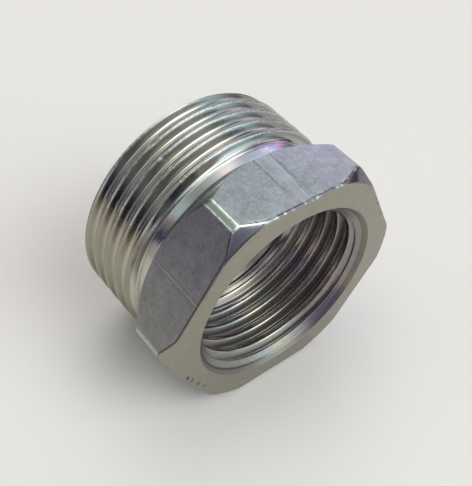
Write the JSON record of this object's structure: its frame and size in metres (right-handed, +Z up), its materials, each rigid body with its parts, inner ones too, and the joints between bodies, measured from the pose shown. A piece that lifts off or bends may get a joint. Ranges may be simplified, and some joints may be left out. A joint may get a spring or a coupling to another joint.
{
  "type": "hex bushing",
  "caption": "Hexagon-headed reducing bushing for pipework: a male pipe thread outside, a smaller female pipe thread through it, with a turned relief between hexagon and thread.",
  "frame": {"origin": "under the middle of the length, on the plane that the bushing lies on: the lowest line of the male thread", "axes": "+Y along the pipe axis from the hexagon towards the end of the male thread, +Z up through a hexagon flat, +X through a hexagon corner"},
  "size_m": [0.0296, 0.0176, 0.0264],
  "materials": {
    "zinc_plated_steel": "turned steel, zinc plated, slightly stained"
  },
  "bodies": {
    "root": {"hex_bushing": "zinc_plated_steel"}
  },
  "joints": []
}
